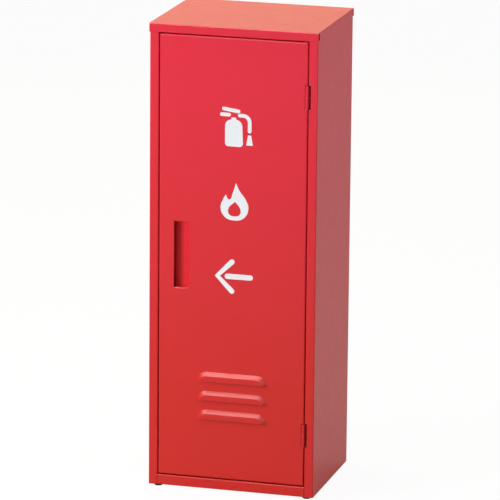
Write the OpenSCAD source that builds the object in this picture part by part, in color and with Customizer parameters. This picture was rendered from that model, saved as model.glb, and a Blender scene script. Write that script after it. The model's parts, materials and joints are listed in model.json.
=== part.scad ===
// Floor-standing cabinet of folded and pressed sheet steel, with one door on lift-off hinges.
// Millimetres. The origin is on the floor under the middle of the outline, from the louvres' faces
// to the cover's back lip, +X to the right, +Y to the back.

/* [Body] */
// Width over the two side walls
body_w = 252; // [220:2:320]
// Depth from the face of the stiles to the back
body_d = 200; // [160:5:260]
// Height of the sheet-metal body, without its feet
body_h = 696; // [600:4:800]
// Thickness of the steel sheet
sheet_t = 0.8; // [0.6:0.1:1.2]
// Radius of a folded corner, at the middle of the sheet
fold_r = 1.2; // [0.8:0.1:1.6]

/* [Front frame] */
// Width of the stile at each side of the door
stile_w = 13.5; // [11:0.5:20]
// Height of the rail under the door
rail_h = 15.5; // [12:0.5:30]
// Width of the stop that the door closes on
stop_w = 8; // [6:0.5:10]
// Gap between neighbouring folded pieces
seam_gap = 0.1; // [0.05:0.05:0.3]

/* [Cover] */
// How far the cover reaches past each side wall
cover_over = 0.7; // [0.3:0.1:2]
// How far the cover's lips stand proud of the body
lip_proud = 1.3; // [1.2:0.1:4]
// Height of the front lip over the door
front_lip_h = 13; // [10:0.5:24]
// Height of the back lip
back_lip_h = 12; // [8:0.5:24]
// Length of the relief at the top of each front fold, behind the end of the lip
relief = 8; // [3:0.5:10]

/* [Hidden edges] */
// Width of the flange behind each side wall
rear_flange_w = 14; // [10:1:25]
// Width of the flange under the cover
top_flange_w = 10; // [8:1:20]
// Height of the flanges round the floor
floor_flange_h = 12; // [8:1:30]

/* [Wall fixing] */
// Diameter of the fixing holes in the back
fixing_hole_d = 8; // [5:0.5:12]
// Distance between the fixing holes across the back
fixing_w = 160; // [100:5:190]
// Distance between the fixing holes up the back
fixing_h = 500; // [300:10:560]

/* [Feet] */
// Height of the feet under the body
foot_h = 4; // [3:0.5:10]
// Diameter of a foot
foot_d = 13; // [10:0.5:18]
// Distance from a foot's middle to the faces of the body beside it
foot_inset = 12; // [10:0.5:15]
// Diameter of the foot's stem in the floor
foot_stem_d = 6; // [4:0.5:7]
// Height of the foot's head over the floor
foot_head_h = 3; // [2:0.5:5]

/* [Door] */
// Gap at each side of the door
reveal = 1.5; // [1.25:0.25:4]
// Gap over and under the door
end_reveal = 2; // [1.5:0.25:4]
// Depth of the door from front to back
door_d = 14; // [13:0.5:20]
// Outer radius of the door's front edges
door_edge_r = 1.8; // [1.6:0.1:2.5]
// Width of the hem round the back of the door
hem_w = 24; // [18:0.5:28]

/* [Finger pull] */
// Distance from the door's left edge to the open edge of the pull
pull_inset = 23; // [20:0.5:40]
// Width of the pull
pull_w = 24; // [18:0.5:32]
// Height of the pull
pull_h = 99; // [80:1:140]
// Height of the pull's middle over the bottom of the body
pull_z = 353.5; // [250:0.5:450]
// Depth of the pull at its open edge
pull_depth = 10.5; // [8:0.5:11]
// Radius of the pull's closed corners
pull_r = 8; // [3:0.5:10]
// Width of the bevel round the mouth of the pull
pull_bevel = 1.2; // [0.6:0.1:1.6]
// Width of a lanced cut
lance_gap = 0.3; // [0.2:0.1:0.5]

/* [Louvres] */
// Number of louvres
louvre_n = 3; // [1:1:5]
// Width of a louvre
louvre_w = 107; // [60:1:160]
// Height of a louvre
louvre_h = 14; // [13:0.5:20]
// Distance from one louvre to the next
louvre_pitch = 28.8; // [24:0.2:40]
// Height of the lowest louvre's open edge over the bottom of the body
louvre_z = 107.6; // [60:0.2:180]
// Distance from the door's middle to the middle of the louvres
louvre_x = 1; // [-10:0.5:10]
// How far a louvre stands out of the door
louvre_rise = 5.5; // [4:0.5:8]
// Radius of a louvre's upper corners
louvre_r = 16; // [9:0.5:20]

/* [Hinges] */
// Length of a hinge
hinge_l = 34; // [28:1:50]
// Height of the lower hinge's middle over the bottom of the body
lower_hinge_z = 94.5; // [60:0.5:160]
// Distance from the upper hinge's middle down to the top of the body
upper_hinge_drop = 95.5; // [60:0.5:160]
// Outer diameter of the knuckles
knuckle_d = 5; // [4.6:0.1:5.4]
// Diameter of the hinge pin
pin_d = 3; // [2.6:0.1:3.2]
// Gap between the pin and the door's knuckle, at each side
pin_fit = 0.05; // [0.03:0.01:0.08]
// Gap between the pin and the frame's knuckle, at each side
pin_seat = 0.02; // [0.01:0.01:0.03]
// Thickness of a hinge leaf
leaf_t = 1; // [0.8:0.1:1.2]
// Length of a hinge leaf behind the pin
leaf_l = 11; // [9:0.5:12]
// Distance from the door's face back to the pin
axis_back = 1; // [0.6:0.1:1.6]
// Distance from the door's edge in to the pin
axis_in = 1; // [0.6:0.1:1.4]
// Thickness of the ring between the knuckles
ring_t = 0.5; // [0.4:0.1:1]
// Gap between the ring and the door's knuckle
ring_gap = 0.1; // [0.05:0.05:0.2]
// Gap between a knuckle and the notch in the door
knuckle_gap = 0.4; // [0.4:0.1:1]
// Gap over and under the hinge in its notches
notch_gap = 0.8; // [0.6:0.1:2]
// Width of the notch in the stile
stile_notch_w = 3.2; // [2:0.1:4]
// Depth of the notch in the stile
stile_notch_d = 5; // [4:0.5:8]

/* [Catch and bumpers] */
// Width of the magnetic catch
catch_w = 11; // [9:0.5:12]
// Height of the magnetic catch
catch_h = 46; // [36:1:60]
// Depth of the magnetic catch
catch_d = 15; // [12:0.5:20]
// Wall of the catch beside its magnet
catch_wall = 2; // [1.5:0.1:2]
// Wall of the catch over and under its magnet
catch_end_wall = 4; // [2:0.5:6]
// Depth of the magnet in the catch
magnet_d = 9; // [6:0.5:11]
// Thickness of the catch's ear on the stop
catch_ear_t = 2; // [1.5:0.5:3]
// How far the pole plates stand out of the catch
pole_out = 1; // [0.6:0.1:2]
// Thickness of the pole plates
pole_t = 1.5; // [1:0.1:2]
// Gap between the closed door and what it closes on
close_gap = 0.3; // [0.2:0.05:0.5]
// Diameter of a bumper
bumper_d = 7; // [5:0.5:8]
// Thickness of a bumper
bumper_t = 2; // [1.5:0.25:3]
// Distance from a bumper to the end of the door opening
bumper_inset = 40; // [30:5:120]

/* [Hidden] */
$fn = 64;
paint = "#d8384a";
steel = "#b9bcc0";
rubber_black = "#2b2b2d";
half_t = sheet_t / 2;
// How far a cutting shape runs past the surface that it cuts, and a joining shape into its neighbour
past = 1;

// Heights
base_z = foot_h;
top_z = foot_h + body_h;
floor_top_z = base_z + sheet_t;
plate_z = top_z - sheet_t;
rail_top_z = base_z + rail_h;
lip_z = top_z - front_lip_h;

// Planes across the body. Flat pieces between the walls end where the walls' folds begin.
wall_x = body_w / 2;
inner_x = wall_x - half_t - fold_r - seam_gap;
open_x = wall_x - stile_w;
front_y = (max(lip_proud, louvre_rise) - lip_proud - body_d) / 2;
back_y = front_y + body_d;
door_back_y = front_y + door_d;
stop_y = door_back_y + close_gap + bumper_t;
stop_in_x = open_x - stop_w;

// The feet, in the front and the back row
foot_x = wall_x - foot_inset;
foot_rows = [front_y + foot_inset, back_y - foot_inset];
foot_head_r = foot_stem_d / 2 + 1;

// The door
door_x = open_x - reveal;
door_z0 = rail_top_z + end_reveal;
door_z1 = lip_z - end_reveal;
door_h = door_z1 - door_z0;
pull_x0 = -door_x + pull_inset;
pull_mid_z = base_z + pull_z;
pull_floor_r = (pull_w * pull_w + pull_depth * pull_depth) / (2 * pull_depth);

// The hinges
axis_x = door_x - axis_in;
axis_y = front_y + axis_back;
knuckle_r = knuckle_d / 2;
hinge_mid_z = [base_z + lower_hinge_z, top_z - upper_hinge_drop];
clear_r = knuckle_r + knuckle_gap;

// A strip of sheet seen on its edge. Its middle line runs through the points, all its bends are square.
module strip(points) {
  last = len(points) - 1;
  for (i = [0:last - 1])
    leg(points[i], points[i + 1], i > 0 ? fold_r : 0, i < last - 1 ? fold_r : 0);
  for (i = [1:1:last - 1])
    fold(points[i], unit(points[i - 1] - points[i]), unit(points[i + 1] - points[i]));
}

function unit(v) = v / norm(v);

// One flat leg from a to b, short of each bend
module leg(a, b, skip_a, skip_b) {
  along = unit(b - a);
  translate(a + along * skip_a)
    rotate(atan2(along[1], along[0]))
      translate([0, -half_t])
        square([norm(b - a) - skip_a - skip_b, sheet_t]);
}

// A quarter bend at a corner of the middle line, where the legs leave along u and v
module fold(corner, u, v) {
  middle = corner + (u + v) * fold_r;
  reach = fold_r + sheet_t;
  intersection() {
    translate(middle)
      difference() {
        circle(fold_r + half_t);
        circle(fold_r - half_t);
      }
    translate(middle - (u + v) * reach / 2)
      square(reach, center = true);
  }
}

// Draws a profile of X and Y points up the height
module upright(z0, z1) {
  translate([0, 0, z0])
    linear_extrude(z1 - z0)
      children();
}

// Draws a profile of Y and Z points across the width
module across(x0, x1) {
  translate([x0, 0, 0])
    rotate([90, 0, 90])
      linear_extrude(x1 - x0)
        children();
}

// Draws a front view of X and Z points from y0 back to y1
module through(y0, y1) {
  translate([0, y1, 0])
    rotate([90, 0, 0])
      linear_extrude(y1 - y0)
        children();
}

module block(low, high) {
  translate(low) cube(high - low);
}

// One side wall, drawn at the right: the wall, its stile, the return and stop round the opening,
// and the flanges at the back and the top.
module side_wall() {
  wall = wall_x - half_t;
  face = front_y + half_t;
  ret = open_x + half_t;
  difference() {
    union() {
      upright(base_z, plate_z)
        strip([
          [wall - rear_flange_w, back_y - half_t], [wall, back_y - half_t], [wall, face],
          [ret, face], [ret, stop_y + half_t], [stop_in_x, stop_y + half_t]
        ]);
      block([wall_x - sheet_t - top_flange_w, stop_y + 2 * sheet_t, plate_z - sheet_t],
            [wall_x - half_t, back_y - 2 * sheet_t - seam_gap, plate_z]);
    }
    // the return and the stop sit on the floor, with a relief round the head of the foot
    block([stop_in_x - past, front_y + sheet_t, base_z - past],
          [wall_x - sheet_t, stop_y + 2 * sheet_t, floor_top_z]);
    translate([foot_x, foot_rows[0], base_z])
      cylinder(r = foot_head_r + 2 * seam_gap, h = sheet_t + foot_head_h + 2 * seam_gap);
    block([wall_x - fold_r - 2 * sheet_t, front_y - past, lip_z + sheet_t],
          [wall_x + past, front_y + relief, top_z]);
  }
}

// The notch that clears one hinge in the right stile
module stile_notch(mid_z) {
  block([open_x - past, front_y - past, mid_z - hinge_l / 2 - notch_gap],
        [open_x + stile_notch_w, front_y + stile_notch_d, mid_z + hinge_l / 2 + notch_gap]);
}

module left_side() {
  color(paint) mirror([1, 0, 0]) side_wall();
}

module right_side() {
  color(paint)
    difference() {
      side_wall();
      for (mid_z = hinge_mid_z) stile_notch(mid_z);
    }
}

// Back sheet inside the rear flanges, with its wall-fixing holes
module back_panel() {
  mid_z = (base_z + top_z) / 2;
  color(paint)
    difference() {
      block([-inner_x, back_y - 2 * sheet_t, base_z], [inner_x, back_y - sheet_t, plate_z]);
      for (sx = [-1, 1], sz = [-1, 1])
        translate([sx * fixing_w / 2, back_y, mid_z + sz * fixing_h / 2])
          rotate([90, 0, 0])
            cylinder(d = fixing_hole_d, h = 3 * sheet_t);
    }
}

// Lid tray: a plate with a lip at the front and the back. Between the stiles the front lip
// folds back as the head of the door opening and turns down as its stop. Its ends hang over the stiles.
module top_cover() {
  lip_y = front_y - lip_proud + half_t;
  back_lip_y = back_y + lip_proud - half_t;
  head_z = lip_z + half_t;
  plate_mid_z = top_z - half_t;
  cover_x = wall_x + cover_over;
  head_x = open_x - seam_gap;
  tab_z = head_z + fold_r;
  color(paint)
    difference() {
      union() {
        across(-cover_x, cover_x)
          strip([
            [lip_y, tab_z], [lip_y, plate_mid_z],
            [back_lip_y, plate_mid_z], [back_lip_y, top_z - back_lip_h]
          ]);
        across(-head_x, head_x)
          strip([
            [lip_y, tab_z + sheet_t], [lip_y, head_z], [stop_y + half_t, head_z],
            [stop_y + half_t, lip_z - stop_w]
          ]);
        for (side = [0, 1])
          mirror([side, 0, 0])
            block([head_x, lip_y - half_t, lip_z], [cover_x, lip_y + half_t, tab_z + sheet_t]);
      }
      stop_notches(lip_z - stop_w - past, lip_z + 2 * sheet_t);
    }
}

// Cuts that clear the upright stops at both ends of a rail or a head
module stop_notches(z0, z1) {
  for (side = [0, 1])
    mirror([side, 0, 0])
      block([stop_in_x - seam_gap, stop_y - seam_gap, z0],
            [open_x + sheet_t, stop_y + 3 * sheet_t, z1]);
}

// Floor of the cabinet: a plate with the rail under the door, and flanges inside the walls and the back
module bottom_pan() {
  rail_x = open_x - seam_gap;
  rail_mid_y = front_y + half_t;
  rail_mid_z = rail_top_z - half_t;
  floor_z = base_z + half_t;
  back_mid_y = back_y - 2 * sheet_t - half_t;
  side_y0 = stop_y + 3 * sheet_t;
  color(paint)
    difference() {
      union() {
        across(-rail_x, rail_x)
          strip([
            [stop_y + half_t, rail_top_z + stop_w], [stop_y + half_t, rail_mid_z], [rail_mid_y, rail_mid_z],
            [rail_mid_y, floor_z], [back_mid_y, floor_z], [back_mid_y, base_z + floor_flange_h]
          ]);
        for (side = [0, 1])
          mirror([side, 0, 0]) {
            block([rail_x - past, front_y + half_t + fold_r + seam_gap, base_z],
                  [inner_x, back_y - 3 * sheet_t - fold_r, floor_top_z]);
            block([inner_x - sheet_t, side_y0, base_z + half_t],
                  [inner_x, back_y - 3 * sheet_t - fold_r, base_z + floor_flange_h]);
          }
      }
      stop_notches(rail_top_z - 2 * sheet_t, rail_top_z + stop_w + past);
      for (x = [-foot_x, foot_x], y = foot_rows)
        translate([x, y, base_z - past])
          cylinder(d = foot_stem_d + 2 * seam_gap, h = sheet_t + 2 * past);
    }
}

// Push-in rubber foot: a bevelled pad, a stem through the floor and a head that holds it
module foot(x, y) {
  pad_r = foot_d / 2;
  stem_r = foot_stem_d / 2;
  bevel = 0.8;
  color(rubber_black)
    translate([x, y, 0])
      rotate_extrude()
        polygon([
          [0, 0], [pad_r - bevel, 0], [pad_r, bevel], [pad_r, foot_h], [stem_r, foot_h],
          [stem_r, floor_top_z], [foot_head_r, floor_top_z], [foot_head_r, floor_top_z + foot_head_h / 3],
          [stem_r / 2, floor_top_z + foot_head_h], [0, floor_top_z + foot_head_h]
        ]);
}

module foot_front_left() foot(-foot_x, foot_rows[0]);
module foot_front_right() foot(foot_x, foot_rows[0]);
module foot_back_left() foot(-foot_x, foot_rows[1]);
module foot_back_right() foot(foot_x, foot_rows[1]);

// A rectangle in plan, from its front edge back, with round front corners
module round_fronted(w, d, r) {
  translate([-w / 2 + r, 0]) square([w - 2 * r, d]);
  translate([-w / 2, r]) square([w, d - r]);
  for (side = [-1, 1])
    translate([side * (w / 2 - r), r]) circle(r);
}

// The door's block with round front edges, pulled in by inset on every face
module door_block(inset) {
  w = 2 * (door_x - inset);
  d = door_d - 2 * inset;
  h = door_h - 2 * inset;
  r = door_edge_r - inset;
  intersection() {
    translate([0, front_y + inset, door_z0 + inset])
      linear_extrude(h) round_fronted(w, d, r);
    across(-w / 2, w / 2)
      translate([front_y + inset, (door_z0 + door_z1) / 2])
        mirror([1, -1])
          round_fronted(h, d, r);
  }
}

// The space that the pull's press tool fills, grown by grow. Its floor is part of a drum.
module pull_form(grow) {
  r = pull_r + grow;
  half_h = pull_h / 2 + grow;
  intersection() {
    pull_drum(half_h, grow);
    through(front_y - past, front_y + door_d)
      translate([pull_x0 - lance_gap, pull_mid_z - half_h])
        union() {
          w = pull_w + lance_gap + grow;
          square([w - r, 2 * half_h]);
          translate([0, r]) square([w, 2 * (half_h - r)]);
          for (z = [r, 2 * half_h - r])
            translate([w - r, z]) circle(r);
        }
  }
  pull_mouth(grow);
}

module pull_drum(half_h, grow) {
  translate([pull_x0, front_y + pull_depth - pull_floor_r, pull_mid_z - half_h])
    cylinder(r = pull_floor_r + grow, h = 2 * half_h, $fn = 128);
}

// The bevel round the pull's mouth, from just before the door's face to where it meets the pull's
// walls. Towards the closed side it runs out on a drum a little larger than the pull's.
module pull_mouth(grow) {
  bevel = pull_bevel + grow * (sqrt(2) - 1);
  flare = bevel + past;
  run_out = pull_bevel / 4;
  r = pull_r + grow;
  half_h = pull_h / 2 + grow;
  x0 = pull_x0 - lance_gap;
  corner_x = pull_x0 + pull_w + grow - r;
  intersection() {
    pull_drum(half_h + flare, grow + run_out);
    union() {
      translate([0, front_y + bevel, 0])
        across(x0, corner_x)
          polygon([
            [0, pull_mid_z - half_h], [0, pull_mid_z + half_h],
            [-flare, pull_mid_z + half_h + flare], [-flare, pull_mid_z - half_h - flare]
          ]);
      upright(pull_mid_z - half_h + r, pull_mid_z + half_h - r)
        translate([0, front_y + bevel])
          polygon([[x0, 0], [corner_x + r, 0], [corner_x + r + flare, -flare], [x0, -flare]]);
      for (z = [pull_mid_z - half_h + r, pull_mid_z + half_h - r])
        translate([corner_x, front_y + bevel, z])
          rotate([90, 0, 0])
            cylinder(r1 = r, r2 = r + flare, h = flare);
    }
  }
}

// The pull's shell behind the skin, open at the left where the sheet is lanced
module pull_shell() {
  intersection() {
    pull_form(sheet_t);
    block([pull_x0, front_y, pull_mid_z - pull_h],
          [pull_x0 + pull_w + sheet_t, front_y + door_d, pull_mid_z + pull_h]);
  }
}

// One louvre as a solid with round upper corners and shoulders at 45 degrees, standing out of the
// plane y = 0. It is drawn down past its open edge at z = 0 and cut off there, or lower by down.
module louvre_form(inset, down) {
  w = louvre_w / 2 - inset;
  h = louvre_h - inset;
  r = louvre_r - inset;
  intersection() {
    union() {
      upright(h - r - louvre_h, h - r)
        polygon([[-w, 0], [w, 0], [w - louvre_rise, -louvre_rise], [louvre_rise - w, -louvre_rise]]);
      across(r - w, w - r)
        polygon([[0, -louvre_h], [0, h], [-louvre_rise, h - louvre_rise], [-louvre_rise, -louvre_h]]);
      for (side = [-1, 1])
        translate([side * (w - r), 0, h - r])
          rotate([90, 0, 0])
            cylinder(r1 = r, r2 = r - louvre_rise, h = louvre_rise);
    }
    block([-louvre_w, -louvre_rise - past, -down], [louvre_w, past, louvre_h]);
  }
}

module at_louvres() {
  for (i = [0:louvre_n - 1])
    translate([louvre_x, front_y, base_z + louvre_z + i * louvre_pitch])
      children();
}

// The door: one sheet folded into a tray, with a hem round the back, the scooped finger pull
// pressed in and the louvres pressed out, and a notch at each hinge.
module door_panel() {
  window_x = door_x - hem_w;
  inner_step = sheet_t * (sqrt(2) - 1);
  color(paint)
    difference() {
      union() {
        difference() {
          door_block(0);
          door_block(sheet_t);
          block([-window_x, door_back_y - 2 * sheet_t, door_z0 + hem_w],
                [window_x, door_back_y + past, door_z1 - hem_w]);
        }
        pull_shell();
        at_louvres() louvre_form(0, 0);
      }
      pull_form(0);
      at_louvres() translate([0, sheet_t, 0]) louvre_form(inner_step, lance_gap);
      for (mid_z = hinge_mid_z)
        block([axis_x - clear_r, front_y - past, mid_z - hinge_l / 2 - notch_gap],
              [door_x + past, axis_y + clear_r, mid_z + hinge_l / 2 + notch_gap]);
    }
}

// One half of a lift-off hinge, from the pin back: knuckle from z0 to z1, leaf plate from x0 to x1
module hinge_half(mid_z, z0, z1, x0, x1, leaf_y, bore_r) {
  difference() {
    union() {
      translate([axis_x, axis_y, z0]) cylinder(r = knuckle_r, h = z1 - z0);
      block([axis_x + x0, axis_y + leaf_y, z0], [axis_x + x1, axis_y + leaf_l, z1]);
      block([axis_x + x0, axis_y + clear_r, mid_z - hinge_l / 2],
            [axis_x + x1, axis_y + leaf_l, mid_z + hinge_l / 2]);
    }
    translate([axis_x, axis_y, z0 - past]) cylinder(r = bore_r, h = z1 - z0 + 2 * past);
  }
}

// The leaf on the return of the right stile carries the lower knuckle
module frame_leaf(mid_z) {
  x1 = open_x - axis_x;
  color(paint)
    hinge_half(mid_z, mid_z - hinge_l / 2, mid_z - ring_t / 2, x1 - leaf_t, x1, 0, pin_d / 2 + pin_seat);
}

// The leaf inside the door's edge carries the upper knuckle
module door_leaf(mid_z) {
  x1 = axis_in - sheet_t;
  color(paint)
    hinge_half(mid_z, mid_z + ring_t / 2 + ring_gap, mid_z + hinge_l / 2, x1 - leaf_t, x1,
               (pin_d / 2 + knuckle_r) / 2, pin_d / 2 + pin_fit);
}

// Headed pin, fixed in the lower knuckle
module hinge_pin(mid_z) {
  r = pin_d / 2;
  head_r = r + 0.7;
  head_t = 0.6;
  nose = 0.5;
  length = hinge_l - nose;
  color(steel)
    translate([axis_x, axis_y, mid_z - hinge_l / 2])
      rotate_extrude()
        polygon([
          [0, -head_t], [head_r - nose / 2, -head_t], [head_r, -head_t / 2], [head_r, 0], [r, 0],
          [r, length - nose], [r - nose, length], [0, length]
        ]);
}

// Ring between the knuckles
module hinge_ring(mid_z) {
  color(steel)
    translate([axis_x, axis_y, mid_z - ring_t / 2])
      difference() {
        cylinder(r = knuckle_r, h = ring_t);
        translate([0, 0, -past]) cylinder(r = pin_d / 2 + pin_fit, h = ring_t + 2 * past);
      }
}

module upper_frame_leaf() frame_leaf(hinge_mid_z[1]);
module lower_frame_leaf() frame_leaf(hinge_mid_z[0]);
module upper_door_leaf() door_leaf(hinge_mid_z[1]);
module lower_door_leaf() door_leaf(hinge_mid_z[0]);
module upper_hinge_pin() hinge_pin(hinge_mid_z[1]);
module lower_hinge_pin() hinge_pin(hinge_mid_z[0]);
module upper_hinge_ring() hinge_ring(hinge_mid_z[1]);
module lower_hinge_ring() hinge_ring(hinge_mid_z[0]);

// Magnetic catch beside the left stop, level with the pull, screwed to the back of the stop by its ear
catch_x0 = -stop_in_x + close_gap;
catch_y0 = door_back_y + close_gap + pole_out;
magnet_gap = 0.05;

module catch_housing() {
  ear_x = -open_x + close_gap;
  color(rubber_black)
    difference() {
      union() {
        block([catch_x0, catch_y0, pull_mid_z - catch_h / 2],
              [catch_x0 + catch_w, catch_y0 + catch_d, pull_mid_z + catch_h / 2]);
        block([ear_x, stop_y + sheet_t, pull_mid_z - catch_h / 2],
              [catch_x0 + past, stop_y + sheet_t + catch_ear_t, pull_mid_z + catch_h / 2]);
      }
      magnet_block(magnet_gap);
    }
}

// The magnet between two pole plates, grown by grow
module magnet_block(grow) {
  mid_x = catch_x0 + catch_w / 2;
  half_w = catch_w / 2 - catch_wall;
  half_h = catch_h / 2 - catch_end_wall;
  overlap = 0.02;
  for (side = [-1, 1])
    translate([mid_x + side * (half_w - pole_t / 2) - pole_t / 2 - grow, catch_y0 - pole_out - grow,
               pull_mid_z - half_h - grow])
      cube([pole_t + 2 * grow, magnet_d + pole_out + 2 * grow, 2 * (half_h + grow)]);
  block([mid_x - half_w + pole_t - overlap - grow, catch_y0 - grow, pull_mid_z - half_h - grow],
        [mid_x + half_w - pole_t + overlap + grow, catch_y0 + magnet_d + grow, pull_mid_z + half_h + grow]);
}

module catch_magnet() {
  color(steel) magnet_block(0);
}

// Rubber bumper on the left stop
module bumper(z) {
  color(rubber_black)
    translate([-(open_x + stop_in_x) / 2, stop_y, z])
      rotate([90, 0, 0])
        cylinder(d = bumper_d, h = bumper_t);
}

module bumper_top() bumper(lip_z - bumper_inset);
module bumper_bottom() bumper(rail_top_z + bumper_inset);

left_side();
right_side();
back_panel();
top_cover();
bottom_pan();
foot_front_left();
foot_front_right();
foot_back_left();
foot_back_right();
upper_frame_leaf();
lower_frame_leaf();
upper_hinge_pin();
lower_hinge_pin();
upper_hinge_ring();
lower_hinge_ring();
catch_housing();
catch_magnet();
bumper_top();
bumper_bottom();
door_panel();
upper_door_leaf();
lower_door_leaf();
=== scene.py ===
# %% [markdown]
# # A red steel extinguisher cabinet, dressed in Blender
# The cabinet comes in as a fixed model, already at its real size: folded side walls, a lid tray,
# a floor pan and a door pressed from one sheet. Nothing here moves or resizes it. The lesson
# gives every piece its finish, adds the small things that a press shop leaves out of the solid
# model, such as the film marks, the spot welds and the screws, and lights it as a product
# photograph is lit.

# %% Load the model
import json
import math

import bmesh
import bpy
from mathutils import Matrix, Quaternion, Vector


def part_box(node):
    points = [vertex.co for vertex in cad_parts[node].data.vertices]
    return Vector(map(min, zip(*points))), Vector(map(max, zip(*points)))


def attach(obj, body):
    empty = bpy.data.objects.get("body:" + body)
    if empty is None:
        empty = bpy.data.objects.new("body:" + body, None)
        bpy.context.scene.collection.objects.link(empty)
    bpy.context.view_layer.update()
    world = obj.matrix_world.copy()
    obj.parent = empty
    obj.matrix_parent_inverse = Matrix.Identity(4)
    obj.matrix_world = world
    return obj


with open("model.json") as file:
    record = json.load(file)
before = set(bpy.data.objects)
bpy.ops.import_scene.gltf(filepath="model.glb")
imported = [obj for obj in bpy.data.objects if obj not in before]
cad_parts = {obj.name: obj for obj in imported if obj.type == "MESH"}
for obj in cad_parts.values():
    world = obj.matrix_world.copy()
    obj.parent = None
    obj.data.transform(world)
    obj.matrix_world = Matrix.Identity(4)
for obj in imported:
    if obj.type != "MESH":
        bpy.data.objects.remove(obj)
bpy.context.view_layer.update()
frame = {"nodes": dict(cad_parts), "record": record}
MM = 0.001

# %% [markdown]
# ## Reference planes
# What has to touch the cabinet is placed from the model's own boxes, so it stays on the sheet if
# the cabinet changes. The door's face is found from the stiles beside it, because the louvres
# stand proud of the door and would shift its own box.

# %% Planes
DOOR_LOW, DOOR_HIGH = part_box("door_panel")
SIDE_LOW, SIDE_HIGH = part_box("right_side")
FACE_Y = SIDE_LOW.y
BACK_Y = SIDE_HIGH.y
print("door face at y =", round(FACE_Y, 4), "door from", tuple(DOOR_LOW), "to", tuple(DOOR_HIGH))

# %% [markdown]
# ## The camera
# The picture is taken from the right and from above with a long lens: upright edges stay almost
# parallel. The angles, the distance and the focal length were fitted to the corners and to the
# gaps round the door. A shifted lens would match the slopes of the level edges a little better,
# but a shift would spoil every other view, so there is none.

# %% Camera
AZIMUTH = math.radians(15.53)
ELEVATION = math.radians(14.08)
ROLL = math.radians(0.52)
DISTANCE = 6.557
FOCAL_PX = 4434.5
FRAME_PX = 500
AIM = Vector((-0.0001, 0.0, 0.3471))

camera_data = bpy.data.cameras.new("camera")
camera_data.sensor_width = 36.0
camera_data.lens = FOCAL_PX / FRAME_PX * camera_data.sensor_width
camera_data.clip_end = 50.0
camera = bpy.data.objects.new("camera", camera_data)
bpy.context.scene.collection.objects.link(camera)
towards_camera = Vector((
    math.sin(AZIMUTH) * math.cos(ELEVATION),
    -math.cos(AZIMUTH) * math.cos(ELEVATION),
    math.sin(ELEVATION),
))
camera.location = AIM + towards_camera * DISTANCE
turn = towards_camera.to_track_quat("Z", "Y") @ Quaternion((0, 0, 1), ROLL)
camera.rotation_euler = turn.to_euler()
bpy.context.scene.camera = camera
print("lens in mm:", round(camera_data.lens, 1))

# %% [markdown]
# ## Colours and nodes
# Paint charts give colours as sRGB hex values, but shaders work on linear light, so one function
# turns a hex value into linear red, green and blue. The others each add one node, set and wire
# its inputs by name and hand back its result, which keeps each material as short as a recipe.

# %% Helpers for materials
def linear(hex_colour):
    """An sRGB hex colour as linear RGBA."""
    channels = [int(hex_colour[i:i + 2], 16) / 255 for i in (1, 3, 5)]
    return [c / 12.92 if c <= 0.04045 else ((c + 0.055) / 1.055) ** 2.4 for c in channels] + [1.0]


def add(tree, kind, inputs=(), **settings):
    """Adds one node. An input is a value, or the output socket that feeds it."""
    node = tree.nodes.new(kind)
    for name, value in settings.items():
        setattr(node, name, value)
    for name, value in dict(inputs).items():
        if isinstance(value, bpy.types.NodeSocket):
            tree.links.new(value, node.inputs[name])
        else:
            node.inputs[name].default_value = value
    return node


def noise(tree, place, width, detail=2.0):
    """Noise with features of about the given width."""
    values = {"Vector": place, "Scale": 1 / width, "Detail": detail}
    return add(tree, "ShaderNodeTexNoise", values).outputs["Fac"]


def between(tree, value, low, high):
    """A value from 0 to 1 mapped to the range from low to high."""
    values = {"Value": value, "To Min": low, "To Max": high}
    return add(tree, "ShaderNodeMapRange", values).outputs["Result"]


def blend(tree, factor, first, second, kind="RGBA"):
    """The first colour or number where the factor is 0, the second where it is 1."""
    values = {"Factor": factor, "A": first, "B": second}
    return add(tree, "ShaderNodeMix", values, data_type=kind).outputs["Result"]


def maths(tree, operation, *values, **settings):
    """One step of arithmetic."""
    inputs = dict(enumerate(values))
    return add(tree, "ShaderNodeMath", inputs, operation=operation, **settings).outputs[0]


def relief(tree, height, depth):
    """A normal bent by a bump of the given depth."""
    return add(tree, "ShaderNodeBump", {"Height": height, "Distance": depth}).outputs["Normal"]


def feed(tree, node, sockets):
    """Wires output sockets into a node's inputs by name."""
    for name, socket in sockets.items():
        tree.links.new(socket, node.inputs[name])


def start_material(name, **surface_values):
    """A material with its surface values set: itself, its tree, its surface and object coordinates."""
    material = bpy.data.materials.new(name)
    material.use_nodes = True
    tree = material.node_tree
    surface = tree.nodes["Principled BSDF"]
    for socket, value in surface_values.items():
        surface.inputs[socket.replace("_", " ")].default_value = value
    place = add(tree, "ShaderNodeTexCoord").outputs["Object"]
    return material, tree, surface, place


# %% [markdown]
# ## Baked enamel
# The body and the door are sprayed with a thermosetting red paint that melts and flows out in
# the oven. It leaves a half-gloss skin with orange peel, shallow dimples one to two millimetres
# across, and slight clouds of colour where the coat is thicker. Painted light turns the red paler
# and cooler towards the top, as if the lamps fell stronger up high. The peel is a bump of two
# noise layers. On a folded edge the wet film pulls thin and shows a little paler, which a bevel
# node finds: near an edge its rounded normal leans away from the flat one. That paler edge is
# also a painted highlight along each fold.
# The eye gets a deep, even red with wide, soft shines and no hard edge anywhere.

# %% Red enamel
PEEL_WIDTH = 1.7 * MM
WAVE_WIDTH = 11 * MM
CLOUD_WIDTH = 90 * MM
PEEL_DEPTH = 0.016 * MM
WAVE_SHARE = 1.2
EDGE_RADIUS = 1.3 * MM
EDGE_LEAN_LEAST, EDGE_LEAN_MOST = 0.98, 0.8
EDGE_THIN_PAINT_AND_HIGHLIGHT = 0.35
SHADED_FOOT_RED = "#d82018"
LIT_TOP_RED = "#ec253d"
THIN_PAINT_HIGHLIGHT_RED = "#ec4a46"
PAINTED_LIGHT_FROM, PAINTED_LIGHT_TO = 0.15, 0.62
CLOUD_SHARE = 0.3
ENAMEL_SHINY, ENAMEL_DULL = 0.32, 0.40

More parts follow.
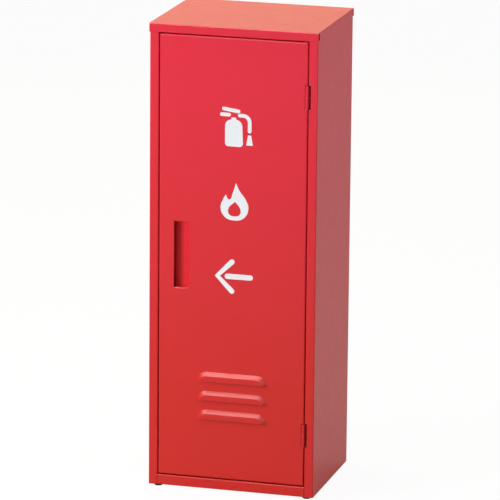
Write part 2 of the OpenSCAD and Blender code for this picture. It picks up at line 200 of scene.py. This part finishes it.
enamel, tree, surface, place = start_material("baked_red_enamel", IOR=1.47)
peel = noise(tree, place, PEEL_WIDTH, 1.0)
waves = noise(tree, place, WAVE_WIDTH, 1.0)
clouds = noise(tree, place, CLOUD_WIDTH, 3.0)
heights = maths(tree, "MULTIPLY_ADD", waves, WAVE_SHARE, peel)
rounded = add(tree, "ShaderNodeBevel", {"Radius": EDGE_RADIUS}, samples=4).outputs["Normal"]
bump = add(tree, "ShaderNodeBump", {"Height": heights, "Distance": PEEL_DEPTH, "Normal": rounded})

# Painted light: the red turns paler and cooler with height, as if the lamps fell stronger up high; the
# colour clouds go into the same blend.
height = add(tree, "ShaderNodeSeparateXYZ", {0: place}).outputs["Z"]
painted_light_ramp = add(tree, "ShaderNodeMapRange", {"Value": height, "From Min": PAINTED_LIGHT_FROM, "From Max": PAINTED_LIGHT_TO})
clouds_and_painted_light = maths(tree, "MULTIPLY_ADD", clouds, CLOUD_SHARE, painted_light_ramp.outputs["Result"])
painted_light_and_clouds = maths(tree, "SUBTRACT", clouds_and_painted_light, CLOUD_SHARE / 2, use_clamp=True)
colour = blend(tree, painted_light_and_clouds, linear(SHADED_FOOT_RED), linear(LIT_TOP_RED))

# Folded edges turn paler: partly thinned paint, partly a painted highlight along each fold.
flat = add(tree, "ShaderNodeNewGeometry").outputs["Normal"]
leaning = add(tree, "ShaderNodeVectorMath", {0: rounded, 1: flat}, operation="DOT_PRODUCT").outputs["Value"]
edge = add(tree, "ShaderNodeMapRange", {"Value": leaning, "From Min": EDGE_LEAN_LEAST,
                                        "From Max": EDGE_LEAN_MOST, "To Max": EDGE_THIN_PAINT_AND_HIGHLIGHT})
feed(tree, surface, {
    "Base Color": blend(tree, edge.outputs["Result"], colour, linear(THIN_PAINT_HIGHLIGHT_RED)),
    "Roughness": between(tree, waves, ENAMEL_SHINY, ENAMEL_DULL),
    "Normal": bump.outputs["Normal"],
})
print("enamel nodes:", len(tree.nodes))

# %% [markdown]
# ## Zinc plate, black plastic and rubber
# The hinge pins and rings are zinc-plated steel, turned on a lathe, so their fine grooves run
# round the pin; the plate has dulled to a patchy grey that mirrors the paint round it. The catch
# is moulded ABS with a spark-eroded grain from the mould, a soft charcoal. Feet and bumpers are
# moulded rubber: darker, almost without shine, with a patchy dusty bloom.

# %% Zinc-plated steel
GROOVE_PITCH = 0.25 * MM
GROOVE_DEPTH = 0.01 * MM
ROUND_THE_PIN = (0.1, 0.1, 1.0)
PATCH_WIDTH = 3 * MM
ZINC_LIGHT, ZINC_DARK = "#8f9296", "#74777d"
ZINC_BRIGHT, ZINC_DULL = 0.25, 0.42
zinc, tree, surface, place = start_material("zinc_plated_steel", Metallic=1.0)
stretched = add(tree, "ShaderNodeMapping", {"Vector": place, "Scale": ROUND_THE_PIN}).outputs["Vector"]
grooves = noise(tree, stretched, GROOVE_PITCH)
patches = noise(tree, place, PATCH_WIDTH)
feed(tree, surface, {
    "Base Color": blend(tree, patches, linear(ZINC_LIGHT), linear(ZINC_DARK)),
    "Roughness": between(tree, patches, ZINC_BRIGHT, ZINC_DULL),
    "Normal": relief(tree, grooves, GROOVE_DEPTH),
})
print("zinc nodes:", len(tree.nodes))


# %% Grained black mouldings
BLOOM_WIDTH = 6 * MM


def black_moulding(name, light, dark, grain, depth, smooth, dull, ior):
    """A black moulded polymer: two tones, the width and depth of its grain, and its roughness range."""
    material, tree, surface, place = start_material(name, IOR=ior)
    pits = add(tree, "ShaderNodeTexVoronoi", {"Vector": place, "Scale": 1 / grain}, feature="SMOOTH_F1")
    bloom = noise(tree, place, BLOOM_WIDTH, 3.0)
    feed(tree, surface, {
        "Base Color": blend(tree, bloom, linear(dark), linear(light)),
        "Roughness": between(tree, bloom, smooth, dull),
        "Normal": relief(tree, pits.outputs["Distance"], depth),
    })
    return material


abs_plastic = black_moulding("grained_black_abs", light="#26272a", dark="#1b1c1e", grain=0.35 * MM,
                             depth=0.02 * MM, smooth=0.45, dull=0.6, ior=1.54)
rubber = black_moulding("moulded_black_rubber", light="#2c2b2b", dark="#1d1c1c", grain=0.6 * MM,
                        depth=0.015 * MM, smooth=0.65, dull=0.85, ior=1.52)
print("black mouldings:", abs_plastic.name, rubber.name)

# %% [markdown]
# ## White film
# The marks on the door are cut from a cast vinyl film, about a tenth of a millimetre thick, with
# a satin surface. Film is cast on paper, so it keeps a very fine, even tooth. It reads as a
# clean, slightly cool white, flatter in its shine than the enamel.

# %% White film
FILM_TOOTH = 0.5 * MM
TOOTH_DEPTH = 0.003 * MM
SHADE_WIDTH = 25 * MM
FILM_LIGHT, FILM_SHADED = "#fbfbfd", "#f4f5f9"
film, tree, surface, place = start_material("white_cast_film", IOR=1.46, Roughness=0.42)
tooth = noise(tree, place, FILM_TOOTH)
shade = noise(tree, place, SHADE_WIDTH)
feed(tree, surface, {
    "Base Color": blend(tree, shade, linear(FILM_LIGHT), linear(FILM_SHADED)),
    "Normal": relief(tree, tooth, TOOTH_DEPTH),
})
print("film nodes:", len(tree.nodes))

# %% [markdown]
# ## Finishes on the model
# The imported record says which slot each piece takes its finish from, so the materials go on by
# slot. Two bodies share one enamel, since they hang on the same paint line.

# %% Dress the model's pieces
FINISHES = {
    "body_paint": enamel,
    "door_paint": enamel,
    "plated_steel": zinc,
    "black_plastic": abs_plastic,
    "rubber": rubber,
}
for subpart in frame["record"]["subparts"]:
    mesh = frame["nodes"][subpart["node"]].data
    mesh.materials.clear()
    mesh.materials.append(FINISHES[subpart["material_slot"]])

# %% [markdown]
# ## The marks on the door
# Three white marks run down the door: an extinguisher, a flame, and an arrow that points to the
# finger pull. Real ones are cut on a plotter, so each is a flat outline with the plotter's
# smooth curves. A two-dimensional Bezier curve is made for this: it fills its own outline, keeps
# a hole where a second loop lies inside the first, and gets its thickness from the curve's
# extrusion. The curve then becomes a mesh, because a piece's place has to be in its mesh.

# %% Outlines
SHARP = "VECTOR"
ROUND = "AUTO"
CAP_STEPS = 8


def round_point(centre, angle, radius):
    """The point at an angle on a circle."""
    return centre[0] + radius * math.cos(angle), centre[1] + radius * math.sin(angle)


def round_end(tip, until, radius):
    """The points inside a pen stroke's round end, clockwise over the half turn up to an angle."""
    steps = range(1, CAP_STEPS)
    return [round_point(tip, until + math.pi - step * math.pi / CAP_STEPS, radius) for step in steps]


def stroke(path, width):
    """The outline of a pen stroke with round ends along a path of (x, z) points in millimetres."""
    half = width / 2
    left, right = [], []
    for i, (x, z) in enumerate(path):
        ax, az = path[max(i - 1, 0)]
        bx, bz = path[min(i + 1, len(path) - 1)]
        length = math.hypot(bx - ax, bz - az)
        nx, nz = -(bz - az) / length * half, (bx - ax) / length * half
        left.append((x + nx, z + nz))
        right.append((x - nx, z - nz))
    start = math.atan2(left[0][1] - path[0][1], left[0][0] - path[0][0])
    end = math.atan2(right[-1][1] - path[-1][1], right[-1][0] - path[-1][0])
    return sharp(left + round_end(path[-1], end, half) + right[::-1] + round_end(path[0], start, half))


def arc(centre, radius, start, end, steps=12):
    """Points along a circle's arc, angles in degrees."""
    angles = [math.radians(start + (end - start) * i / steps) for i in range(steps + 1)]
    return [round_point(centre, angle, radius) for angle in angles]


def sharp(points):
    """An outline with straight lines between its points."""
    return [(x, z, SHARP) for x, z in points]


print("points in a quarter arc:", len(arc((0, 0), 1, 0, 90)))

# %% [markdown]
# The bottle is one outline with a round foot, a domed shoulder and a neck. Its lever, grip and
# hose are pen strokes, set a little apart from it as on a stencil.

# %% The three marks
# Every size here is in millimetres. The point (0, 0) lies near the middle of each mark.
THIN_PEN, THICK_PEN = 5.5, 8
BOTTLE = sharp(
    arc((7, -23), 5, -90, 0) + arc((1, 2), 10, 0, 62) + [(1.5, 12.5), (1.5, 15), (-5.5, 15), (-5.5, 12.5)]
    + arc((-5, 2), 10, 118, 180) + arc((-10, -23), 5, 180, 270)
)
HOSE = stroke([(7, 18.5)] + arc((12, 8.5), 10, 90, 0) + [(22, -4)], THIN_PEN)
NOZZLE = sharp([(19.6, -10), (24.4, -10), (27, -25), (17, -25)])
LEVER = stroke([(-17, 27.5), (5, 24.5)], THIN_PEN)
GRIP = stroke([(-20, 19), (-9, 18.8)], THIN_PEN)
FLAME = [
    (2, 28, SHARP), (8, 16, ROUND), (17, 4, ROUND), (21, -10, ROUND), (14, -24, ROUND),
    (0, -28, ROUND), (-14, -24, ROUND), (-21, -10, ROUND), (-17, 3, ROUND), (-13, 10, SHARP),
    (-8, 3, ROUND), (-3, 12, ROUND),
]
FLAME_HEART = [
    (1, 0, SHARP), (9, -11, ROUND), (8, -19, ROUND), (0, -22, ROUND), (-8, -19, ROUND),
    (-9, -11, ROUND),
]
SHAFT = stroke([(25, 0), (-10, 0)], THICK_PEN)
HEAD = stroke([(-3, 22), (-25, 0), (-3, -22)], THICK_PEN)
# Each mark's height over the floor, and its outlines
MARKS = {
    "mark_extinguisher": (553, [BOTTLE, HOSE, NOZZLE, LEVER, GRIP]),
    "mark_flame": (443, [FLAME, FLAME_HEART]),
    "mark_arrow": (330.5, [SHAFT, HEAD]),
}
MARK_X = 3.0
FILM_THICK = 0.12
CURVE_STEPS = 8
MERGE_WITHIN = 0.01


def plain_mesh(source, name):
    """The evaluated shape of an object as a plain mesh object, with the source deleted."""
    bpy.context.view_layer.update()
    evaluated = source.evaluated_get(bpy.context.evaluated_depsgraph_get())
    mesh = bpy.data.meshes.new_from_object(evaluated)
    mesh.name = name
    piece = bpy.data.objects.new(name, mesh)
    bpy.context.scene.collection.objects.link(piece)
    bpy.data.objects.remove(source)
    return piece


def cut_film(name, height, outlines):
    """One mark as film on the door's face."""
    curve = bpy.data.curves.new(name, "CURVE")
    curve.dimensions = "2D"
    curve.fill_mode = "BOTH"
    curve.extrude = FILM_THICK / 2
    curve.resolution_u = CURVE_STEPS
    for outline in outlines:
        spline = curve.splines.new("BEZIER")
        spline.bezier_points.add(len(outline) - 1)
        spline.use_cyclic_u = True
        for point, (x, z, kind) in zip(spline.bezier_points, outline):
            point.co = (x, z, 0)
            point.handle_left_type = point.handle_right_type = kind
    source = bpy.data.objects.new(name, curve)
    bpy.context.scene.collection.objects.link(source)
    piece = plain_mesh(source, name)
    upright = Matrix.Rotation(math.radians(90), 4, "X")
    lift = Matrix.Translation((MARK_X * MM, FACE_Y - FILM_THICK / 2 * MM, height * MM))
    piece.data.transform(lift @ upright @ Matrix.Scale(MM, 4))
    shape = bmesh.new()
    shape.from_mesh(piece.data)
    bmesh.ops.remove_doubles(shape, verts=shape.verts, dist=MERGE_WITHIN * MM)
    bmesh.ops.recalc_face_normals(shape, faces=shape.faces)
    shape.to_mesh(piece.data)
    shape.free()
    piece.data.materials.clear()
    piece.data.materials.append(film)
    return piece


for name, (height, outlines) in MARKS.items():
    mark = cut_film(name, height, outlines)
    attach(mark, "door")
    print(name, len(mark.data.polygons), "faces")

# %% [markdown]
# ## Rows of small things
# Spot welds and screws repeat along a line, so one Geometry Nodes tree lays out any such row:
# the object's own mesh is the pattern, and the tree's inputs say how many there are, where the
# first sits and how far apart they are. The row is realised, given its material and turned into
# a plain mesh, since the export keeps no instances.

# %% A tree that lays out a row
row_tree = bpy.data.node_groups.new("row_of_copies", "GeometryNodeTree")
ROW_INPUTS = {}
for name, kind in (
    ("Geometry", "NodeSocketGeometry"),
    ("Count", "NodeSocketInt"),
    ("First", "NodeSocketVector"),
    ("Step", "NodeSocketVector"),
    ("Finish", "NodeSocketMaterial"),
):
    socket = row_tree.interface.new_socket(name, in_out="INPUT", socket_type=kind)
    ROW_INPUTS[name] = socket.identifier
row_tree.interface.new_socket("Geometry", in_out="OUTPUT", socket_type="NodeSocketGeometry")
row_in = add(row_tree, "NodeGroupInput").outputs
places = add(row_tree, "GeometryNodeMeshLine", {"Count": row_in["Count"], "Start Location": row_in["First"],
                                                "Offset": row_in["Step"]}, mode="OFFSET")
copies = add(row_tree, "GeometryNodeInstanceOnPoints", {"Points": places.outputs["Mesh"],
                                                        "Instance": row_in["Geometry"]})
real = add(row_tree, "GeometryNodeRealizeInstances", {"Geometry": copies.outputs["Instances"]})
finished = add(row_tree, "GeometryNodeSetMaterial", {"Geometry": real.outputs["Geometry"],
                                                     "Material": row_in["Finish"]})
add(row_tree, "NodeGroupOutput", {"Geometry": finished.outputs["Geometry"]})
print("row inputs:", ROW_INPUTS)


# %% Lay out a row
def row_of(pattern, name, count, first, step, finish):
    """A plain mesh object with count copies of the pattern mesh."""
    source = bpy.data.objects.new(name, pattern)
    bpy.context.scene.collection.objects.link(source)
    rows = source.modifiers.new("row", "NODES")
    rows.node_group = row_tree
    for key, value in (("Count", count), ("First", first), ("Step", step), ("Finish", finish)):
        rows[ROW_INPUTS[key]] = value
    return plain_mesh(source, name)


def turned(name, profile, axis, sides=24):
    """A closed round mesh from (radius, height) points in millimetres, its axis along a vector."""
    shape = bmesh.new()
    angles = [2 * math.pi * i / sides for i in range(sides)]
    rings = []
    for r, h in profile:
        spots = [(r * math.cos(a), r * math.sin(a), h) for a in angles] if r else [(0, 0, h)]
        rings.append([shape.verts.new(Vector(spot) * MM) for spot in spots])
    for low, high in zip(rings, rings[1:]):
        for i in range(sides):
            j = (i + 1) % sides
            corners = [low[i % len(low)], low[j % len(low)], high[j % len(high)], high[i % len(high)]]
            shape.faces.new(list(dict.fromkeys(corners)))
    bmesh.ops.recalc_face_normals(shape, faces=shape.faces)
    turn_to_axis = Vector((0, 0, 1)).rotation_difference(Vector(axis)).to_matrix()
    bmesh.ops.rotate(shape, verts=shape.verts, matrix=turn_to_axis)
    mesh = bpy.data.meshes.new(name)
    shape.to_mesh(mesh)
    shape.free()
    for face in mesh.polygons:
        face.use_smooth = True
    return mesh


# %% [markdown]
# ## Spot welds
# The rear flanges of the side walls are spot-welded to the back sheet. The electrodes leave a
# flat dimple with a raised rim, six millimetres across, which the paint softens. Each is a low
# turned dish on the flange, and one row runs up each side.

# %% Spot welds up the back
WELD_COUNT = 9
WELD_RIM = [
    (0, 0.06), (1.7, 0.07), (2.0, 0.14), (2.3, 0.2), (2.7, 0.14), (3.1, 0.0), (2.9, -0.3), (0, -0.3),
]
WELD_IN = 7 * MM
WELD_END = 36 * MM
weld_pitch = (SIDE_HIGH.z - SIDE_LOW.z - 2 * WELD_END) / (WELD_COUNT - 1)
for side, name in ((-1, "left_spot_welds"), (1, "right_spot_welds")):
    weld = turned(name, WELD_RIM, (0, 1, 0))
    lowest = (side * (SIDE_HIGH.x - WELD_IN), BACK_Y, SIDE_LOW.z + WELD_END)
    welds = row_of(weld, name, WELD_COUNT, lowest, (0, 0, weld_pitch), enamel)
    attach(welds, "cabinet")
    print(name, "pitch in mm:", round(weld_pitch / MM, 1))

# %% [markdown]
# ## Screws of the catch
# Two pan-head screws hold the catch's ear on the stop, where they show when the door is open.
# Each head is a turned dome with a cross cut into it by a boolean with two short bars.

# %% A pan-head screw
HEAD_R, HEAD_H = 2.7, 1.5
PAN_HEAD = [
    (0, -0.4), (1.4, -0.4), (1.4, 0), (HEAD_R, 0), (HEAD_R, 0.6), (2.45, 1.05), (1.9, 1.35),
    (1.1, HEAD_H), (0, HEAD_H),
]
CROSS_LONG, CROSS_WIDE, CROSS_DEEP = 2.9, 0.65, 0.9
CROSS_TURN = 20


def cut_cross(mesh):
    """Cuts a cross recess into a screw head whose axis points along -Y."""
    head = bpy.data.objects.new("screw_head", mesh)
    bpy.context.scene.collection.objects.link(head)
    for turn_by in (CROSS_TURN, CROSS_TURN + 90):
        seat = Matrix.Translation((0, -HEAD_H * MM, 0)) @ Matrix.Rotation(math.radians(turn_by), 4, "Y")
        size = Matrix.Diagonal((CROSS_LONG * MM, 2 * CROSS_DEEP * MM, CROSS_WIDE * MM, 1))
        bar = bmesh.new()
        bmesh.ops.create_cube(bar, size=1.0, matrix=seat @ size)
        bar_mesh = bpy.data.meshes.new("cross_bar")
        bar.to_mesh(bar_mesh)
        bar.free()
        cutter = bpy.data.objects.new("cross_bar", bar_mesh)
        bpy.context.scene.collection.objects.link(cutter)
        cut = head.modifiers.new("cross", "BOOLEAN")
        cut.operation = "DIFFERENCE"
        cut.solver = "EXACT"
        cut.object = cutter
    cutters = [cut.object for cut in head.modifiers]
    piece = plain_mesh(head, "pan_head")
    for cutter in cutters:
        bpy.data.objects.remove(cutter)
    result = piece.data
    bpy.data.objects.remove(piece)
    return result


HOUSING_LOW, HOUSING_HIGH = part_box("catch_housing")
BUMPER_LOW, BUMPER_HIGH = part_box("bumper_top")
stop_x = (BUMPER_LOW.x + BUMPER_HIGH.x) / 2
SCREW_COUNT = 2
SCREW_END = 7 * MM
screw_step = (HOUSING_HIGH.z - HOUSING_LOW.z - 2 * SCREW_END) / (SCREW_COUNT - 1)
lowest = (stop_x, BUMPER_HIGH.y, HOUSING_LOW.z + SCREW_END)
pan_head = cut_cross(turned("pan_head", PAN_HEAD, (0, -1, 0)))
screws = row_of(pan_head, "catch_screws", SCREW_COUNT, lowest, (0, 0, screw_step), zinc)
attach(screws, "cabinet")
print("screws", len(screws.data.polygons), "faces")

# %% [markdown]
# ## The studio
# A pale floor runs back under the cabinet and the world behind it is white. The camera sees both
# as white without more light on the object, because the floor's own glow and the world's full
# strength are kept for camera rays. The floor still takes the cabinet's shadow. In the paint's
# shine the floor glows weakly, and less close to the cabinet, like a contact shadow. The world
# turns there from a dim horizon to a warm, pale wall above it. The side wall mirrors the floor
# and the lid mirrors that wall.

# %% Floor and world
REACH = 8.0
floor_corners = [(-REACH, -REACH, 0), (REACH, -REACH, 0), (REACH, REACH, 0), (-REACH, REACH, 0)]
floor_mesh = bpy.data.meshes.new("floor")
floor_mesh.from_pydata(floor_corners, [], [(0, 1, 2, 3)])
floor = bpy.data.objects.new("floor", floor_mesh)
bpy.context.scene.collection.objects.link(floor)

PAPER_GLOW = 1.06
CAMERA_SHARE = 0.88
MIRROR_SHARE = 0.34
CONTACT_REACH = 120 * MM
PAPER_GREY = "#d8d8d8"


def ray_kinds(tree):
    """Two sockets: 1 on camera rays, and 1 on rays that a surface mirrors or lets through."""
    rays = add(tree, "ShaderNodeLightPath").outputs
    mirrored = maths(tree, "MAXIMUM", rays["Is Glossy Ray"], rays["Is Transmission Ray"])
    return rays["Is Camera Ray"], mirrored


paper, tree, surface, place = start_material("pale_studio_paper", Roughness=0.8)
surface.inputs["Base Color"].default_value = linear(PAPER_GREY)
seen, mirrored = ray_kinds(tree)
openness = add(tree, "ShaderNodeAmbientOcclusion", {"Distance": CONTACT_REACH}, samples=4).outputs["AO"]
shaded = maths(tree, "MULTIPLY", openness, MIRROR_SHARE)
dimmed = maths(tree, "MULTIPLY", mirrored, shaded)
glow = add(tree, "ShaderNodeEmission", {"Color": (1, 1, 1, 1), "Strength": PAPER_GLOW}).outputs[0]
share = maths(tree, "MULTIPLY_ADD", seen, CAMERA_SHARE, dimmed)
mixed = add(tree, "ShaderNodeMixShader", {0: share, 1: surface.outputs["BSDF"], 2: glow}).outputs[0]
feed(tree, tree.nodes["Material Output"], {"Surface": mixed})
floor.data.materials.append(paper)

FILL = 0.33
HORIZON_TOP = 0.12
HORIZON_GLOW = 0.3
WARM_WALL = "#fff0d4"
world = bpy.data.worlds.new("studio")
bpy.context.scene.world = world
world.use_nodes = True
tree = world.node_tree
seen, mirrored = ray_kinds(tree)
sky = add(tree, "ShaderNodeTexCoord").outputs["Generated"]
rise = add(tree, "ShaderNodeSeparateXYZ", {0: sky}).outputs["Z"]
backdrop = add(tree, "ShaderNodeMapRange", {"Value": rise, "From Max": HORIZON_TOP,
                                            "To Min": HORIZON_GLOW, "To Max": 1.0})
bounced = blend(tree, mirrored, FILL, backdrop.outputs["Result"], "FLOAT")
level = blend(tree, seen, bounced, 1.0, "FLOAT")
tint = blend(tree, mirrored, (1, 1, 1, 1), linear(WARM_WALL))
feed(tree, tree.nodes["Background"], {"Color": tint, "Strength": level})
print("floor and world ready")

# %% [markdown]
# ## Lamps
# The key is a wide soft box far out on the left. It rakes the front, so the finger pull turns
# from dark to light across its width and every shadow has a soft rim. A small lamp over the lid
# makes it the brightest face, a weak one on the right keeps the side wall from going dark, and
# an amber glow stands where the lid mirrors the room behind. The key lends no shine, since its
# mirror image would wipe out the lid from behind. Two long strips lend nothing but shine: the
# high one draws the pale line along each louvre's shoulder, the front one the line on each fold.

# %% Soft boxes
def soft_box(name, place, aim, size, watts, tint):
    """A rectangular area lamp that faces a point."""
    data = bpy.data.lights.new(name, "AREA")
    data.shape = "RECTANGLE"
    data.size, data.size_y = size
    data.energy = watts
    data.color = tint
    lamp = bpy.data.objects.new(name, data)
    bpy.context.scene.collection.objects.link(lamp)
    lamp.location = place
    lamp.rotation_euler = (Vector(place) - Vector(aim)).to_track_quat("Z", "Y").to_euler()
    return lamp


COOL, WARM, AMBER = (0.93, 0.97, 1.0), (1.0, 0.93, 0.85), (1.0, 0.82, 0.4)
ICY = (0.75, 1.0, 0.97)
key = soft_box("key", place=(-2.04, -1.77, 1.05), aim=(0.0, 0.0, 0.4), size=(1.5, 0.8),
               watts=54.5, tint=COOL)
key.visible_glossy = False
soft_box("overhead", place=(-0.45, 0.45, 2.0), aim=(0.0, 0.0, 0.4), size=(0.6, 0.6),
         watts=8, tint=WARM)
soft_box("side fill", place=(2.2, -0.9, 1.35), aim=(0.0, 0.0, 0.6), size=(1.2, 1.2),
         watts=7, tint=WARM)
soft_box("backdrop glow", place=(-0.8, 2.8, 1.1), aim=(0.0, 0.0, 0.6), size=(2.4, 1.2),
         watts=5.5, tint=AMBER)
high_strip = soft_box("high strip", place=(-0.75, -0.6, 2.1), aim=(-0.75, -0.4, 0.4), size=(3.4, 0.5),
                      watts=66, tint=ICY)
high_strip.visible_diffuse = False
front_strip = soft_box("front strip", place=(-0.6, -1.6, 2.2), aim=(-0.6, -0.1, 0.7), size=(3.0, 0.35),
                       watts=52, tint=ICY)
front_strip.visible_diffuse = False

# %% [markdown]
# ## Finish
# The view transform is Standard, so a colour renders about as it is written.

# %% Finish
bpy.context.scene.view_settings.view_transform = "Standard"
